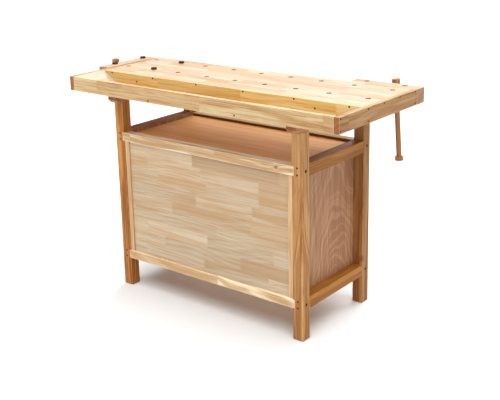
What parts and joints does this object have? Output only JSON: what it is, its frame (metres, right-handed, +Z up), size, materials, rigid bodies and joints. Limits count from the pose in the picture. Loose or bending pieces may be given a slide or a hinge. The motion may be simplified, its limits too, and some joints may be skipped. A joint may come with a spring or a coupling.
{
  "type": "cabinetmaker's workbench",
  "caption": "Wooden joiner's bench with a front vise, a tail vise, bench dogs, a tool tray, and a closed cabinet base with drawers and a door.",
  "frame": {"origin": "on the floor, under the middle of the bench's footprint with jaws and vise hubs included", "axes": "+Z up; the worker stands on the -Y side, where the front vise and the drawers are; the front vise is at the -X end and the tail vise at the +X end"},
  "size_m": [1.394, 0.627, 0.868],
  "materials": {
    "top_wood": "satin varnish",
    "edge_wood": "satin varnish",
    "jaw_wood": "satin varnish",
    "tray_wall_wood": "satin varnish",
    "tray_ramp_wood": "satin varnish",
    "tray_bottom_ply": "satin varnish",
    "leg_wood": "satin varnish",
    "bearer_wood": "satin varnish",
    "rail_wood": "satin varnish",
    "panel_wood": "satin varnish",
    "batten_wood": "satin varnish",
    "side_ply": "satin varnish",
    "shelf_ply": "satin varnish",
    "drawer_wood": "satin varnish",
    "handle_wood": "satin varnish",
    "screw_steel": "plain",
    "bolt_steel": "plain",
    "vise_iron": "plain",
    "rod_steel": "plain",
    "hinge_steel": "plain",
    "dog_black": "plain"
  },
  "bodies": {
    "bench": {"top_slab": "top_wood", "front_apron": "edge_wood", "rear_apron": "edge_wood", "tray_wall": "tray_wall_wood", "tray_bottom": "tray_bottom_ply", "right_end_cap": "edge_wood", "left_end_cap": "edge_wood", "tray_ramps": "tray_ramp_wood", "front_left_leg": "leg_wood", "front_right_leg": "leg_wood", "rear_left_leg": "leg_wood", "rear_right_leg": "leg_wood", "left_bearer": "bearer_wood", "right_bearer": "bearer_wood", "front_top_rail": "rail_wood", "front_bottom_rail": "rail_wood", "rear_top_rail": "rail_wood", "rear_bottom_rail": "rail_wood", "left_top_rail": "rail_wood", "left_bottom_rail": "rail_wood", "right_top_rail": "rail_wood", "right_bottom_rail": "rail_wood", "rear_panel": "panel_wood", "rear_battens": "batten_wood", "right_side_panel": "side_ply", "left_side_panel": "side_ply", "cabinet_top": "shelf_ply", "cabinet_floor": "shelf_ply", "cabinet_divider": "batten_wood", "drawer_runners": "batten_wood", "frame_hinge_leaves": "hinge_steel", "front_vise_nut": "vise_iron", "tail_vise_nut": "vise_iron", "end_cap_screws": "screw_steel", "tray_screws": "screw_steel", "rail_screws": "screw_steel", "frame_bolts": "bolt_steel", "barrel_nuts": "bolt_steel"},
    "front_jaw": {"front_vise_jaw": "jaw_wood", "front_vise_guide_rods": "rod_steel", "front_vise_collar": "vise_iron"},
    "front_screw": {"front_vise_screw": "vise_iron"},
    "front_handle": {"front_vise_handle": "handle_wood"},
    "tail_jaw": {"tail_vise_jaw": "jaw_wood", "tail_vise_guide_rods": "rod_steel", "tail_vise_collar": "vise_iron"},
    "tail_screw": {"tail_vise_screw": "vise_iron"},
    "tail_handle": {"tail_vise_handle": "handle_wood"},
    "front_slab_dog": {"slab_dog_front": "dog_black"},
    "rear_slab_dog": {"slab_dog_rear": "dog_black"},
    "front_jaw_dog": {"jaw_dog_front": "dog_black"},
    "rear_jaw_dog": {"jaw_dog_rear": "dog_black"},
    "door": {"cabinet_door": "panel_wood", "door_hinge_leaves": "hinge_steel"},
    "lower_drawer": {"lower_drawer_front": "panel_wood", "lower_drawer_box": "drawer_wood"},
    "middle_drawer": {"middle_drawer_front": "panel_wood", "middle_drawer_box": "drawer_wood"},
    "upper_drawer": {"upper_drawer_front": "panel_wood", "upper_drawer_box": "drawer_wood"}
  },
  "joints": [
    {"name": "front_jaw_slide", "type": "slide", "parent": "bench", "child": "front_jaw", "axis": [0, -1, 0], "range_m": [0, 0.12]},
    {"name": "front_screw_spin", "type": "hinge", "parent": "front_jaw", "child": "front_screw", "pos_m": [-0.5555, -0.1945, 0.828], "axis": [0, -1, 0], "range_deg": [0, 8640]},
    {"name": "front_handle_slide", "type": "slide", "parent": "front_screw", "child": "front_handle", "axis": [0.0698, 0, 0.9976], "range_m": [0, 0.2384]},
    {"name": "tail_jaw_slide", "type": "slide", "parent": "bench", "child": "tail_jaw", "axis": [1, 0, 0], "range_m": [-0.005, 0.115]},
    {"name": "tail_screw_spin", "type": "hinge", "parent": "tail_jaw", "child": "tail_screw", "pos_m": [0.578, -0.0415, 0.828], "axis": [1, 0, 0], "range_deg": [-360, 8280]},
    {"name": "tail_handle_slide", "type": "slide", "parent": "tail_screw", "child": "tail_handle", "axis": [0, 0, 1], "range_m": [0, 0.2384]},
    {"name": "front_slab_dog_lift", "type": "slide", "parent": "bench", "child": "front_slab_dog", "axis": [0, 0, 1], "range_m": [0, 0.035]},
    {"name": "rear_slab_dog_lift", "type": "slide", "parent": "bench", "child": "rear_slab_dog", "axis": [0, 0, 1], "range_m": [0, 0.035]},
    {"name": "front_jaw_dog_lift", "type": "slide", "parent": "tail_jaw", "child": "front_jaw_dog", "axis": [0, 0, 1], "range_m": [0, 0.035]},
    {"name": "rear_jaw_dog_lift", "type": "slide", "parent": "tail_jaw", "child": "rear_jaw_dog", "axis": [0, 0, 1], "range_m": [0, 0.035]},
    {"name": "lower_drawer_slide", "type": "slide", "parent": "bench", "child": "lower_drawer", "axis": [0, -1, 0], "range_m": [0, 0.3]},
    {"name": "middle_drawer_slide", "type": "slide", "parent": "bench", "child": "middle_drawer", "axis": [0, -1, 0], "range_m": [0, 0.3]},
    {"name": "upper_drawer_slide", "type": "slide", "parent": "bench", "child": "upper_drawer", "axis": [0, -1, 0], "range_m": [0, 0.3]},
    {"name": "door_hinge", "type": "hinge", "parent": "bench", "child": "door", "pos_m": [0.343, -0.189, 0.384], "axis": [0, 0, 1], "range_deg": [0, 110]}
  ],
  "couplings": [
    {"joint": "front_jaw_slide", "follows": "front_screw_spin", "m_per_rad": 0.00079577},
    {"joint": "tail_jaw_slide", "follows": "tail_screw_spin", "m_per_rad": 0.00079577}
  ]
}
